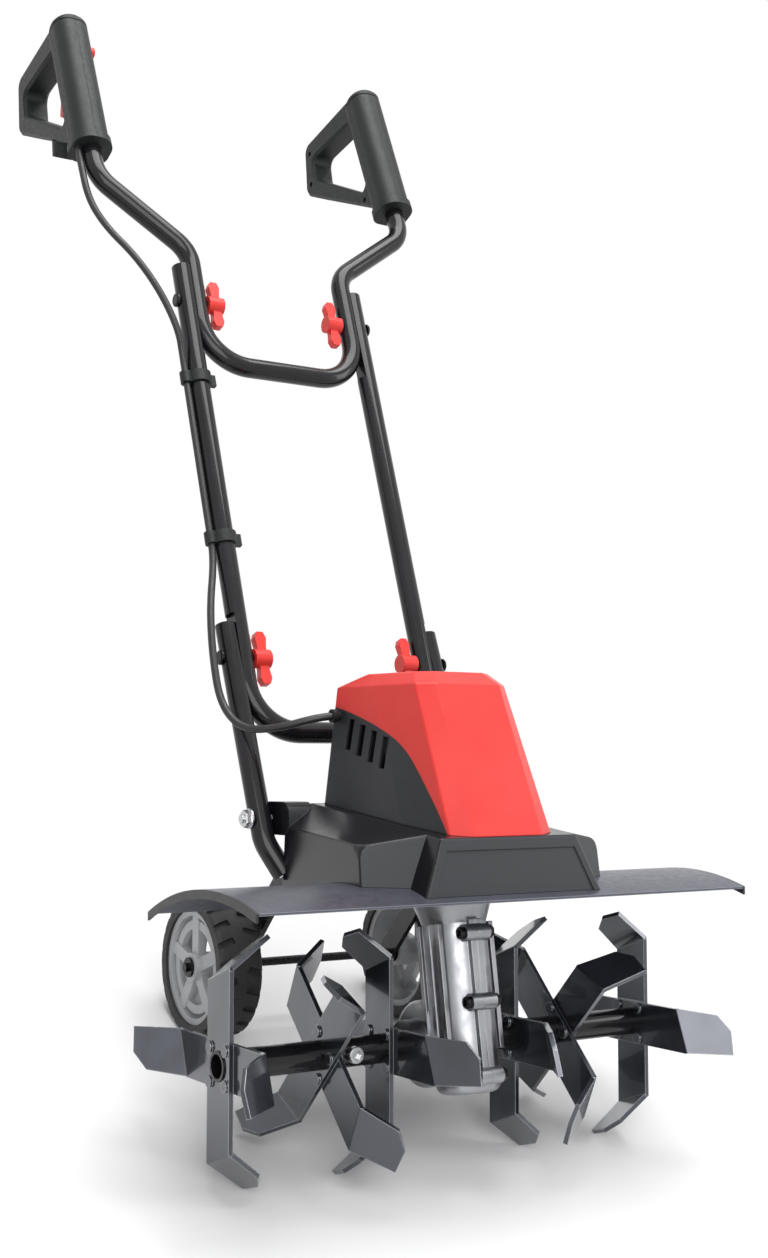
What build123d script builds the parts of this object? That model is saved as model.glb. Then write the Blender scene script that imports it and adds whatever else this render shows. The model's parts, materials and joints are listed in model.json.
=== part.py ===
from build123d import *
import math
import os

# Sizes in millimetres. While it is modelled the machine stands level: X is sideways,
# the front faces -Y, Z is up and the tine shaft lies on the X axis. At the end all of it
# leans back onto its wheels and its bottom centre moves to the origin.

# Handle tubes
tube_d = 20.0
tube_wall = 1.5
joint_flat = 4.5
flat_gap = 0.4
lower_tube_x = 111.5
handle_lean = 18.9
lower_lean = 21.5
upper_pivot_y = 303.0
upper_pivot_z = 695.0
pivot_spacing = 385.0
lower_tube_over = 33.0
middle_tube_over = 40.0
flat_reach = 62.0
foot_z = 138.0
foot_bolt_z = 186.0
foot_inset = 14.0
middle_cross_drop = 72.0
upper_cross_drop = 68.0
bend_r = 48.0
upper_neck_rise = 62.0
grip_x = 182.0
grip_tube_y = 357.0
grip_tube_z = 851.5
neck_bend_r = 34.0
pivot_bolt_d = 8.0
bolt_clearance = 0.05
bolt_head_r = 7.0
bolt_head_t = 5.0
pivot_head_t = 3.2
washer_r = 9.0
washer_t = 1.5
knob_boss_r = 9.0
knob_boss_len = 17.0
knob_bore_len = 13.0
knob_wing = 26.0
knob_wing_t = 8.0
knob_wing_w = 12.0
knob_gap = 0.5

# Grips
grip_lean = 23.8
grip_len = 178.0
grip_depth = 36.0
grip_width = 38.0
loop_width = 28.0
loop_bar = 20.0
loop_rear_y = 180.0
loop_low_rise = 70.0
loop_up_rise = 132.0
loop_corner_r = 14.0
grip_tube_depth = 62.0
grip_edge = 11.0
grip_front_edge = 16.0
grip_fit = 0.1
grip_crown_r = 22.0
collar_len = 9.0
collar_proud = 2.0
cap_len = 16.0
cap_groove = 1.2
trigger_w = 16.0
trigger_len = 40.0
trigger_low = 72.0
trigger_proud = 20.0
trigger_pin_d = 4.0
trigger_slack = 1.0
lock_d = 12.0
lock_below_top = 40.0
lock_proud = 5.0
lock_depth = 14.0
lock_travel = 4.0
switch_low = 78.0
switch_len = 52.0
switch_depth = 12.0
switch_offset = -3.0
trigger_front = 11.0
switch_width = 24.0
inlet_d = 26.0
inlet_len = 16.0
inlet_place = 0.42
grip_screw_d = 6.0
grip_screw_len = 20.0
grip_screw_up = 39.0
grip_screw_sink = 3.0

# Cable
cable_d = 7.0
clip_wall = 2.5
clip_len = 12.0
cable_stub = 8.0
clip_drops = (90.0, 264.0)

# Deck
deck_half_w = 241.5
deck_front_y = -114.5
deck_front_z = 127.5
deck_peak_y = -24.0
deck_peak_z = 139.0
deck_rear_y = 70.0
deck_rear_z = 115.0
deck_t = 2.0
deck_lip = 7.0

# Housing
shell_t = 2.5
base_front_y = -107.0
base_rear_y = 100.0
base_front_half = 92.0
base_rear_half = 80.0
base_top_front_half = 68.0
base_top_rear_half = 74.0
base_bottom_z = 120.0
base_front_top_y = -97.0
base_front_top_z = 176.0
base_rear_top_z = 200.0
base_rear_top_y = 97.0
hood_front_y = -94.5
hood_rear_y = 92.0
hood_front_half = 34.5
hood_cheek_half = 51.0
hood_cheek_y = -84.0
hood_rear_half = 64.0
hood_top_front_y = -39.0
hood_top_cheek_y = -27.0
hood_top_front_half = 32.0
hood_top_cheek_half = 46.4
hood_top_rear_y = 84.6
hood_top_rear_half = 55.7
vent_count = 4
vent_w = 8.5
vent_len = 27.0
vent_step = 17.5
vent_lean = -7.0
ear_t = 6.0
ear_front_y = 86.0
ear_back_y = 134.0
ear_low_z = 172.0
ear_high_z = 201.0
gland_len = 8.0
gland_r = 6.0
gland_y = 77.0
gland_z = 276.0
gland_x = 57.0
panel_inset = 8.0
panel_depth = 1.0
hood_edge = 3.0
hood_shoulder = 11.0
hood_waist_y = -29.0
hood_waist_half = 59.5
hood_top_waist_y = 30.0
hood_top_waist_half = 52.5
crown_front = 14.0
crown_rear = 38.0
crown_side = 8.0
vent_front_y = 5.8
vent_z = 243.5
vent_rise = 5.4
base_edge = 2.5
wing_front_y = -66.0
wing_front_half = 122.0
wing_rear_half = 101.0
wing_crease_z = 169.5
wing_crease_rise = 10.5
wing_lean = 7.0
wing_slant = 27.0
wing_core = 50.0
ledge_front_half = 68.0
ledge_rear_half = 75.0
ledge_front_y = -78.0
panel_top = 10.0

# Drive
axis_lean = 9.0
centre_distance = 32.0
gear_module = 1.5
wheel_teeth = 32
column_r = 27.0
drum_r = 36.0
gearbox_half = 26.0
gearbox_wall = 4.0
column_bottom = -42.0
neck_r = 35.0
motor_r = 43.0
motor_core_r = 24.0
motor_len = 50.0
motor_base = 196.0
air_gap = 0.6
shaft_d = 10.0
tine_shaft_d = 18.0
shaft_clearance = 0.05
neck_bore_r = 30.0
frame_wall = 2.8
worm_core_r = 6.2
worm_len = 26.0
worm_crest = 1.0
worm_root = 2.0
gear_face = 7.0
bearing_out_r = 15.0
bearing_w = 9.0
bearing_x = 14.0
seal_w = 5.0
hub_r = 21.0
hub_x = 40.0
column_bolt_w = (87.0, 31.0, -28.0)
column_bolt_d = 6.0
shaft_bearing_r = 12.0
shaft_bearing_w = 8.0
low_bearing = -36.0
mid_bearing = 112.0
fan_len = 12.0
commutator_r = 14.0
commutator_len = 20.0

# Tines
tine_tube_d = 24.0
star_x = (62.0, 119.0, 208.7)
bar_t = 4.0
bar_w = 37.0
bar_fold_r = 70.0
tip_len = 46.0
tip_angle = 56.0
fold_skew = 20.0
rivet_d = 6.0
tine_bolt_x = 96.5
tine_bolt_d = 8.0
tine_shaft_end = 104.0
tine_socket_r = 9.5
tine_socket_gap = 2.0
tine_tube_end = 214.0

# Wheels
wheel_y = 216.0
wheel_z = 48.3
tyre_r = 64.0
rim_r = 52.5
wheel_w = 42.0
wheel_outer_x = 132.0
axle_d = 8.0
bracket_x = 84.0
bracket_t = 5.0
bracket_w = 20.0
bracket_pivot_y = 124.0
bracket_pivot_z = 140.0
wheel_hub_r = 13.0
carrier_t = 4.0
carrier_reach = 14.0
bracket_rod_place = 0.3
clip_r = 9.0
clip_t = 2.0
rim_lip = 6.0
spoke_count = 5
spoke_w = 12.0
spoke_t = 8.0
lug_count = 22
lug_gap = 6.0
lug_depth = 3.5

# Values worked out from the sizes above
on_foot = (Align.CENTER, Align.CENTER, Align.MIN)
tube_r = tube_d / 2
deck_arc = ((deck_front_y, deck_front_z), (deck_peak_y, deck_peak_z), (deck_rear_y, deck_rear_z))
joint_step = tube_d - 2 * joint_flat + flat_gap
middle_tube_x = lower_tube_x - joint_step
upper_tube_x = middle_tube_x - joint_step
bend_flat = 1.2 * math.sqrt(2 * bend_r * joint_flat)
cable_beside_grip = tube_r + cable_d / 2 + 0.8
cable_x = -(middle_tube_x + tube_r + cable_d / 2 + 0.3)
ear_x = lower_tube_x - tube_r
worm_r = gear_module * 16 / 3
tine_tube_start = hub_x + 1.5
axle_end = wheel_outer_x + 6
lock_height = grip_len - lock_below_top
fan_low = motor_base - 2 * fan_len
commutator_low = motor_base + motor_len + 8
top_bearing = commutator_low + commutator_len + 8
frame_top = top_bearing + shaft_bearing_w + 2
hood_top_z = frame_top + 20
tine_socket_start = tine_shaft_end + tine_socket_gap


def along(lean, length):
    """A step of this length in the Y-Z plane, leaning rearward from upright."""
    return length * math.sin(math.radians(lean)), length * math.cos(math.radians(lean))


def on_line(y, z, lean, length):
    """The point this far up a leaning line from (y, z)."""
    dy, dz = along(lean, length)
    return y + dy, z + dz


def height_on_line(y, z, lean, height):
    """The point at this height on a leaning line through (y, z)."""
    return y + (height - z) * math.tan(math.radians(lean)), height


lower_pivot_y, lower_pivot_z = on_line(upper_pivot_y, upper_pivot_z, handle_lean, -pivot_spacing)


def rod_x(x0, x1, y, z, r):
    """A round rod along X."""
    rod = Cylinder(r, abs(x1 - x0), align=on_foot)
    return Pos(min(x0, x1), y, z) * (Rot(0, 90, 0) * rod)


def ring_x(x0, x1, y, z, r_out, r_in):
    """A ring around an axis along X."""
    return rod_x(x0, x1, y, z, r_out) - rod_x(x0, x1, y, z, r_in)


def swept(points, radii, r):
    """A round rod along straight runs joined by tangent arcs."""
    path = FilletPolyline(*points, radius=radii)
    section = Plane(origin=path @ 0, z_dir=path % 0) * Circle(r)
    return sweep(section, path=path)


def tube(points, radii, d=tube_d, wall=tube_wall):
    return swept(points, radii, d / 2) - swept(points, radii, d / 2 - wall)


def flatten(body, rod, x, side, y, z, lean, low, high):
    """Presses a flat on a leaning tube's face at x + side * (radius - joint_flat)."""
    face = x + side * (tube_r - joint_flat)
    length = high - low
    spot = Pos(0, y, z) * Rot(-lean, 0, 0) * Pos(0, 0, (low + high) / 2)
    cut = Pos(face + side * joint_flat, 0, 0) * (spot * Box(2 * joint_flat, 2 * tube_d, length))
    wall = Pos(face - side * tube_wall / 2, 0, 0) * (spot * Box(tube_wall, 2 * tube_d, length))
    return (body - cut) + (rod & wall)


def mirror_x(shape):
    return mirror(shape, about=Plane.YZ)


# Handle


def lower_points(side):
    x = side * lower_tube_x
    top = on_line(lower_pivot_y, lower_pivot_z, lower_lean, lower_tube_over)
    knee = height_on_line(lower_pivot_y, lower_pivot_z, lower_lean, foot_z + 2 * foot_inset)
    foot = height_on_line(lower_pivot_y, lower_pivot_z, lower_lean, foot_z)
    return [(x, *top), (x, *knee), (x - side * foot_inset, *foot)]


def lower_tube(side):
    """One lower leg: flat where the middle handle bolts on, foot bent inward to the base."""
    x = side * lower_tube_x
    points = lower_points(side)
    body = tube(points, [neck_bend_r])
    rod = swept(points, [neck_bend_r], tube_r)
    body = flatten(body, rod, x, -side, lower_pivot_y, lower_pivot_z, lower_lean,
                   -flat_reach, lower_tube_over + tube_wall)
    hole = pivot_bolt_d / 2 + bolt_clearance
    body -= rod_x(x - tube_d, x + tube_d, lower_pivot_y, lower_pivot_z, hole)
    body -= rod_x(x - tube_d, x + tube_d, *foot_bolt_point(), hole)
    return body


def foot_bolt_point():
    return height_on_line(lower_pivot_y, lower_pivot_z, lower_lean, foot_bolt_z)


def middle_points():
    top = on_line(upper_pivot_y, upper_pivot_z, handle_lean, middle_tube_over)
    bottom = on_line(lower_pivot_y, lower_pivot_z, handle_lean, -middle_cross_drop)
    x = middle_tube_x
    return [(-x, *top), (-x, *bottom), (x, *bottom), (x, *top)]


def middle_handlebar():
    points = middle_points()
    radii = [bend_r, bend_r]
    body = tube(points, radii)
    rod = swept(points, radii, tube_r)
    low = bend_r - middle_cross_drop - bend_flat
    hole = pivot_bolt_d / 2 + bolt_clearance
    for side in (-1, 1):
        x = side * middle_tube_x
        body = flatten(body, rod, x, side, lower_pivot_y, lower_pivot_z, handle_lean,
                       low, lower_tube_over + tube_r)
        body = flatten(body, rod, x, -side, upper_pivot_y, upper_pivot_z, handle_lean,
                       -flat_reach, middle_tube_over + tube_wall)
        for y, z in ((lower_pivot_y, lower_pivot_z), (upper_pivot_y, upper_pivot_z)):
            body -= rod_x(x - tube_d, x + tube_d, y, z, hole)
    return body


def upper_points():
    end = on_line(grip_tube_y, grip_tube_z, grip_lean, grip_tube_depth)
    elbow = on_line(grip_tube_y, grip_tube_z, grip_lean, -neck_bend_r)
    neck = on_line(upper_pivot_y, upper_pivot_z, handle_lean, upper_neck_rise)
    bottom = on_line(upper_pivot_y, upper_pivot_z, handle_lean, -upper_cross_drop)
    left = [(-grip_x, *end), (-grip_x, *elbow), (-upper_tube_x, *neck), (-upper_tube_x, *bottom)]
    return left + [(-x, y, z) for x, y, z in reversed(left)]


def upper_handlebar():
    points = upper_points()
    radii = [neck_bend_r, neck_bend_r, bend_r, bend_r, neck_bend_r, neck_bend_r]
    body = tube(points, radii)
    rod = swept(points, radii, tube_r)
    low = bend_r - upper_cross_drop - bend_flat
    hole = pivot_bolt_d / 2 + bolt_clearance
    for side in (-1, 1):
        x = side * upper_tube_x
        body = flatten(body, rod, x, side, upper_pivot_y, upper_pivot_z, handle_lean,
                       low, middle_tube_over + tube_wall)
        body -= rod_x(x - tube_d, x + tube_d, upper_pivot_y, upper_pivot_z, hole)
    return body


def pivot_bolt(side, outer_x, inner_x, y, z):
    """A bolt from a head outside the outer tube to its end inside the knob."""
    seat = outer_x + tube_r
    end = inner_x - tube_r - knob_gap - knob_bore_len + 1
    head = rod_x(seat, seat + pivot_head_t, y, z, bolt_head_r)
    head = fillet(head.edges().sort_by(Axis.X)[-1:], 0.6 * pivot_head_t)
    bolt = rod_x(end, seat, y, z, pivot_bolt_d / 2) + head
    return bolt if side > 0 else mirror_x(bolt)


def foot_bolt(side):
    y, z = foot_bolt_point()
    seat = lower_tube_x + tube_r
    bolt = rod_x(ear_x - ear_t, seat, y, z, pivot_bolt_d / 2)
    bolt += rod_x(seat, seat + washer_t, y, z, washer_r)
    bolt += rod_x(seat + washer_t, seat + washer_t + bolt_head_t, y, z, bolt_head_r)
    return bolt if side > 0 else mirror_x(bolt)


def knob(side, inner_x, y, z):
    """A two-wing knob: round boss against the tube, wings spread along the handle."""
    face = inner_x - tube_r - knob_gap
    waist, tip = knob_wing_w * 0.38, knob_wing_w / 2
    half = [(waist, 0), (waist, knob_wing * 0.42), (tip, knob_wing - 6), (tip - 2.5, knob_wing)]
    wing = make_face(Polyline(*half, *[(-x, z) for x, z in reversed(half)], close=True))
    plate = extrude(Plane.XZ * wing, knob_wing_t / 2, both=True)
    plate = fillet(plate.edges().filter_by(Axis.Y), 1.5)
    wings = plate + Rot(180, 0, 0) * plate
    boss = rod_x(-knob_boss_len / 2 - 2, knob_boss_len / 2 - 2, 0, 0, knob_boss_r)
    body = boss + Pos(-3, 0, 0) * wings
    bore_r = pivot_bolt_d / 2 + bolt_clearance
    body -= rod_x(knob_boss_len / 2 - 2 - knob_bore_len, knob_boss_len, 0, 0, bore_r)
    body = Pos(face - knob_boss_len / 2 + 2, y, z) * (Rot(-handle_lean, 0, 0) * body)
    return body if side > 0 else mirror_x(body)


# Grips


def grip_point(u, v):
    """A point u rearward of the grip's axis and v up it from the tube's exit."""
    y, z = on_line(grip_tube_y, grip_tube_z, grip_lean, v)
    dy, dz = along(grip_lean, u)
    return y + dz, z - dy


def grip_plane(x, v=0.0):
    """A plane square to the grip's axis, with its X across and its Y rearward."""
    y, z = on_line(grip_tube_y, grip_tube_z, grip_lean, v)
    dy, dz = along(grip_lean, 1)
    return Plane(origin=(x, y, z), x_dir=(1, 0, 0), z_dir=(0, dy, dz))


def side_plate(points, width):
    """A plate of this width about X = 0, from its outline in the Y-Z plane."""
    outline = make_face(Polyline(*[(0, y, z) for y, z in points], close=True))
    return extrude(outline, width / 2, dir=(1, 0, 0), both=True)


def grip_block(grow, low, high):
    """The upright's rounded bar about X = 0 between two heights, its sides grown by this much."""
    size = (grip_width + 2 * grow, grip_depth + 2 * grow, high - low)
    bar = Box(*size, align=on_foot)
    bar = fillet(bar.edges().filter_by(Axis.Z).sort_by(Axis.Y)[:2], grip_front_edge + grow)
    rear = bar.edges().filter_by(Axis.Z).sort_by(Axis.Y)[-2:]
    return grip_plane(0, low) * fillet(rear, grip_edge + grow)


def grip_crown():
    """A tall form with a ball-shaped top, which domes the upright."""
    centre = grip_len - grip_crown_r
    tall = Box(2 * grip_crown_r, 2 * grip_crown_r, centre + 1, align=(Align.CENTER, Align.CENTER, Align.MAX))
    return grip_plane(0, centre) * (tall + Sphere(grip_crown_r))


def grip_body():
    """The whole grip about X = 0: domed upright with a collar and a cap seam, closed loop behind it."""
    half = grip_depth / 2
    block = grip_block(0, 0, grip_len)
    block &= grip_crown()
    block += grip_block(collar_proud, 0, collar_len)
    seam = grip_len - cap_len
    block -= grip_block(5, seam, seam + cap_groove) - grip_block(-cap_groove, seam - 1, seam + 2 * cap_groove)
    y0, z0 = grip_tube_y, grip_tube_z
    outer = [grip_point(0, 3), grip_point(0, grip_len - 4), (y0 + loop_rear_y, z0 + loop_up_rise),
             (y0 + loop_rear_y - 6, z0 + loop_low_rise)]
    loop = side_plate(outer, loop_width)
    loop = fillet(loop.edges().filter_by(Axis.X).sort_by(Axis.Y)[-2:], loop_corner_r)
    inner = [grip_point(half, 40), grip_point(half, grip_len - 30),
             (y0 + loop_rear_y - loop_bar, z0 + loop_up_rise - loop_bar),
             (y0 + loop_rear_y - 6 - loop_bar, z0 + loop_low_rise + loop_bar * 0.7)]
    opening = side_plate(inner, 2 * grip_width)
    opening = fillet(opening.edges().filter_by(Axis.X), loop_corner_r * 0.6)
    loop -= opening
    loop = chamfer(loop.edges().filter_by(lambda e: abs(abs(e.center().X) - loop_width / 2) < 0.01), 3.0)
    return block + loop


def grip_screw_places():
    y0, z0 = grip_tube_y, grip_tube_z
    return [grip_point(grip_depth / 2 - 7, grip_len - 14), grip_point(grip_depth / 2 + 8, grip_screw_up),
            (y0 + loop_rear_y - 14, z0 + loop_up_rise - 13),
            (y0 + loop_rear_y - 18, z0 + loop_low_rise + 10)]


def grip_screws_one(x, side):
    """Four screws, sunk in the grip's inner face, that hold its halves together."""
    screws = []
    for i, (y, z) in enumerate(grip_screw_places()):
        half = (grip_width if i < 1 else loop_width) / 2
        start = half - grip_screw_sink
        screws.append(rod_x(start - grip_screw_len, start, y, z, grip_screw_d / 2))
    return [Pos(x, 0, 0) * (s if side < 0 else mirror_x(s)) for s in screws]


def switch_cavity(slack):
    """The switch module's block about X = 0, grown by slack."""
    plane = grip_plane(0, switch_low)
    grown = 2 * slack
    block = Box(switch_width + grown, switch_depth + grown, switch_len + grown, align=on_foot)
    return plane * Pos(0, switch_offset, -slack) * block


def trigger_slot():
    """The trigger's slot about X = 0, from the switch out of the grip's rear."""
    start = switch_offset + switch_depth / 2
    grown = 2 * trigger_slack
    slot = Box(trigger_w + grown, grip_depth, trigger_len + grown, align=(Align.CENTER, Align.MIN, Align.MIN))
    return grip_plane(0, trigger_low - trigger_slack) * Pos(0, start, 0) * slot


def trigger_pin_point():
    return grip_point(trigger_front + 3.5, trigger_low + trigger_len - 5)


def trigger():
    rear, top = grip_depth / 2 + trigger_proud, trigger_low + trigger_len
    body = side_plate([grip_point(trigger_front, trigger_low), grip_point(rear - 4, trigger_low),
                       grip_point(rear, trigger_low + 5),
                       grip_point(rear - 9, trigger_low + trigger_len * 0.5),
                       grip_point(rear - 14, top), grip_point(trigger_front, top)], trigger_w)
    body = fillet(body.edges().filter_by(Axis.X).sort_by(Axis.Y)[-4:], 2.0)
    y, z = trigger_pin_point()
    body -= rod_x(-trigger_w, trigger_w, y, z, trigger_pin_d / 2 + bolt_clearance)
    return Pos(-grip_x, 0, 0) * body


def trigger_pin():
    y, z = trigger_pin_point()
    half = grip_width / 2 - 5
    return Pos(-grip_x, 0, 0) * rod_x(-half, half, y, z, trigger_pin_d / 2)


def lock_rod(r, start, end):
    """A rod about X = 0 along X, the way the lock button is pressed."""
    return rod_x(start, end, *grip_point(0, lock_height), r)


def lock_button():
    face = grip_width / 2
    body = lock_rod(lock_d / 2, face - lock_depth + lock_travel, face + lock_proud)
    body = fillet(body.edges().sort_by(Axis.X)[-1:], 2.0)
    return Pos(-grip_x, 0, 0) * body


def inlet_plane():
    """A plane on the loop's lower arm, facing down out of it."""
    y0, z0 = grip_tube_y, grip_tube_z
    dy, dz = loop_rear_y - 6, loop_low_rise - 3
    norm = math.hypot(dy, dz)
    return Plane(origin=(-grip_x, y0 + dy * inlet_place, z0 + 3 + dz * inlet_place),
                 x_dir=(1, 0, 0), z_dir=(0, dz / norm, -dy / norm))


def mains_inlet():
    body = Cone(inlet_d / 2, inlet_d / 2 - 3, inlet_len, align=on_foot)
    body -= Pos(0, 0, inlet_len - 10) * Cylinder(inlet_d / 2 - 6, 12, align=on_foot)
    return inlet_plane() * Pos(0, 0, 0.02) * body


def grip_shells(side):
    """The outer and inner half of one grip, split at the tube's own plane."""
    body = grip_body()
    bore = Cylinder(tube_r + grip_fit, grip_tube_depth + grip_fit + 2, align=on_foot)
    body -= grip_plane(0) * Pos(0, 0, -2) * bore
    x = side * grip_x
    for i, (y, z) in enumerate(grip_screw_places()):
        half = (grip_width if i < 1 else loop_width) / 2
        start = half - grip_screw_sink - grip_screw_len - 0.5
        hole = rod_x(start, half + 5, y, z, grip_screw_d / 2 + grip_fit)
        body -= hole if side < 0 else mirror_x(hole)
    if side < 0:
        body -= switch_cavity(grip_fit)
        body -= trigger_slot()
        py, pz = trigger_pin_point()
        half = grip_width / 2 - 5
        body -= rod_x(-half, half, py, pz, trigger_pin_d / 2 + grip_fit)
        body -= lock_rod(lock_d / 2 + bolt_clearance * 4, grip_width / 2 - lock_depth, grip_width)
        body -= cable_exit_hole()
        body -= Pos(grip_x, 0, 0) * (inlet_plane() * Cylinder(inlet_d / 2 + grip_fit, 2 * inlet_len,
                                                              align=on_foot))
    reach = 2 * (loop_rear_y + grip_len)
    half_space = Box(grip_width, reach, reach, align=(Align.MIN, Align.CENTER, Align.CENTER))
    cut = Pos(0, grip_tube_y, grip_tube_z) * half_space
    right, left = body & cut, body - cut
    outer, inner = (left, right) if side < 0 else (right, left)
    return Pos(x, 0, 0) * outer, Pos(x, 0, 0) * inner


def cable_exit_hole():
    """The cable's way out of the switch grip's bottom, beside the tube."""
    hole = Cylinder(cable_d / 2 + grip_fit, cable_stub + 2, align=on_foot)
    return grip_plane(0, -2) * Pos(-cable_beside_grip, 0, 0) * hole


# Cable


def beside_middle(drop):
    """A point on the cable's line along the left middle tube, below the upper pivot."""
    return (cable_x, *on_line(upper_pivot_y, upper_pivot_z, handle_lean, -drop))


def cable_points():
    """The cable's three stretches: grip to first clip, clip to clip, clip to housing."""
    exit_x = -grip_x - cable_beside_grip
    first, second = clip_drops
    upper = [(exit_x, *grip_point(0, cable_stub)), (exit_x, *grip_point(0, -24)), (-193, 335, 792),
             (-178, 324, 763), (-156, 305, 734), (-136, 289, 698), (-121, 277, 658),
             beside_middle(first - 24), beside_middle(first - clip_len / 2)]
    middle = [beside_middle(first - clip_len / 2), beside_middle(second + clip_len / 2)]
    lower = [beside_middle(second + clip_len / 2), beside_middle(second + 22), (-129, 188, 376),
             (-135, 168, 325), (-135, 152, 286), (-126, 128, 264), (-106, 100, 265),
             (-gland_x - 2 * gland_len, gland_y, gland_z), (-gland_x, gland_y, gland_z)]
    return upper, middle, lower


def cord_radii(points):
    """Arc radii that use most of the runs beside each corner."""
    radii = []
    for a, b, c in zip(points, points[1:], points[2:]):
        first, second = Vector(b) - Vector(a), Vector(c) - Vector(b)
        turn = math.radians(first.get_angle(second))
        radii.append(0.45 * min(first.length, second.length) / math.tan(turn / 2))
    return radii


def cable_piece(points):
    if len(points) == 2:
        path = Line(*points)
        return sweep(Plane(origin=path @ 0, z_dir=path % 0) * Circle(cable_d / 2), path=path)
    radii = cord_radii(points)
    print("cable radii", [round(r) for r in radii])
    return swept(points, radii, cable_d / 2)


def cable_clip(drop):
    """A clip: one ring on the handle tube, one on the cable, a tab on the inner side."""
    y, z = on_line(upper_pivot_y, upper_pivot_z, handle_lean, -drop)
    dy, dz = along(handle_lean, 1)
    plane = Plane(origin=(-middle_tube_x, y, z), x_dir=(1, 0, 0), z_dir=(0, dy, dz))
    cable_at = Pos(cable_x + middle_tube_x, 0, 0)
    body = Cylinder(tube_r + clip_wall, clip_len) + cable_at * Cylinder(cable_d / 2 + clip_wall, clip_len)
    body += Pos(tube_r + clip_wall, 0, 0) * Box(10, 5, clip_len)
    body -= Cylinder(tube_r, clip_len) + cable_at * Cylinder(cable_d / 2, clip_len)
    return plane * body


# Deck and housing


def arch(drop, thickness, half_w):
    """A sheet along the deck's arch: its top lies drop below the deck's own top."""
    top = [(0, y, z - drop) for y, z in deck_arc]
    low = [(x, y, z - thickness) for x, y, z in top]
    edge = ThreePointArc(*top) + ThreePointArc(*low) + Line(top[0], low[0]) + Line(top[2], low[2])
    return extrude(make_face(edge), half_w, dir=(1, 0, 0), both=True)


def above_deck():
    """The room over the deck's arch, to trim what seats on it or hangs under it."""
    high = 400.0
    top = [(0, y, z) for y, z in deck_arc]
    rear = (0, deck_rear_y + high, deck_rear_z)
    corners = Polyline(top[2], rear, (0, deck_rear_y + high, high), (0, deck_front_y - high, high),
                       (0, deck_front_y - high, deck_front_z), top[0])
    return extrude(make_face(ThreePointArc(*top) + corners), deck_half_w, dir=(1, 0, 0), both=True)


def column_plane(w=0.0):
    """The plane square to the motor's leaning axis, w above the tine shaft's level."""
    dy, dz = along(axis_lean, 1)
    return Plane(origin=(0, -centre_distance * dz + w * dy, centre_distance * dy + w * dz),
                 x_dir=(1, 0, 0), z_dir=(0, dy, dz))


def post(r, low, high):
    """A round post along the motor's axis."""
    return column_plane(low) * Cylinder(r, high - low, align=on_foot)


def deck_shield():
    body = arch(0, deck_t, deck_half_w)
    lip = arch(0, deck_lip, deck_half_w) - arch(-1, deck_lip + 2, deck_half_w - deck_t)
    return body + lip - post(neck_bore_r + 1, 60, 220)


def quad(points):
    return make_face(Polyline(*points, close=True))


def base_top(y):
    """The height of the base's top, which rises to the rear."""
    slope = (base_rear_top_z - base_front_top_z) / (base_rear_top_y - base_front_top_y)
    return base_front_top_z + slope * (y - base_front_top_y)


def base_core(inset):
    """The base's middle, from its sloped front to its rear, drawn in by inset."""
    low = base_bottom_z - 2 * inset
    front, rear = base_front_y + inset, base_rear_y - inset
    bottom = quad([(-base_front_half + inset, front, low), (base_front_half - inset, front, low),
                   (base_rear_half - inset, rear, low), (-base_rear_half + inset, rear, low)])
    corners = [(base_top_front_half - inset, base_front_top_y + inset),
               (base_top_rear_half - inset, base_rear_top_y - inset)]
    corners += [(-x, y) for x, y in reversed(corners)]
    top = quad([(x, y, base_top(y) - inset) for x, y in corners])
    return loft([bottom, top], ruled=True)


def base_wing(inset):
    """The base's right flank: upright faces up to a crease, then a facet up to the ledge."""
    def crease(y):
        rise = wing_crease_rise / (base_rear_top_y - wing_front_y)
        return wing_crease_z + rise * (y - wing_front_y) - inset

    def outline(front, front_half, rear, rear_half, slant, height):
        points = [(wing_core, front - slant), (front_half - inset, front + inset),
                  (rear_half - inset, rear - inset), (wing_core, rear - inset)]
        return quad([(x, y, height(y)) for x, y in points])

    low = base_bottom_z - 2 * inset
    bottom = outline(wing_front_y, wing_front_half, base_rear_y, wing_rear_half, wing_slant, lambda y: low)
    middle = outline(wing_front_y + wing_lean, wing_front_half - 1, base_rear_y - 2, wing_rear_half - 1,
                     wing_slant, crease)
    top = outline(ledge_front_y, ledge_front_half, base_rear_top_y, ledge_rear_half, wing_lean,
                  lambda y: base_top(y) - inset)
    return loft([bottom, middle, top], ruled=True)


def base_form(inset, rounding=0.0):
    """The base cover's solid form, drawn in by inset, its outer edges rounded."""
    core, wing = base_core(inset), base_wing(inset)
    if rounding:
        high = base_bottom_z + 5
        core = fillet(core.edges().filter_by(lambda e: e.center().Z > high), rounding)
        wing = fillet(wing.edges().filter_by(lambda e: e.center().Z > high and e.center().X > wing_core + 12),
                      rounding)
    return core + wing + mirror_x(wing)


def hood_form(inset):
    """The form that the hood and the top cover share, drawn in by inset."""
    def section(points, height):
        front, rear = points[0], points[-1]
        half = [(front[0], front[1] + inset)]
        half += [(x - inset, y + inset / 2) for x, y in points[1:-1]]
        half.append((rear[0] - inset, rear[1] - inset))
        return quad([(x, y, height(y)) for x, y in half] + [(-x, y, height(y)) for x, y in reversed(half)])

    foot = [(hood_front_half, hood_front_y), (hood_cheek_half, hood_cheek_y),
            (hood_waist_half, hood_waist_y), (hood_rear_half, hood_rear_y)]
    edge = [(hood_top_front_half, hood_top_front_y), (hood_top_cheek_half, hood_top_cheek_y),
            (hood_top_waist_half, hood_top_waist_y), (hood_top_rear_half, hood_top_rear_y)]
    steps = (crown_front, crown_front, crown_front / 2, -crown_rear)
    crown = [(x - crown_side, y + step) for (x, y), step in zip(edge, steps)]
    return loft([section(foot, lambda y: base_top(y) - 2 * inset),
                 section(edge, lambda y: hood_top_z - hood_shoulder - inset / 2),
                 section(crown, lambda y: hood_top_z - inset)], ruled=True)


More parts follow.
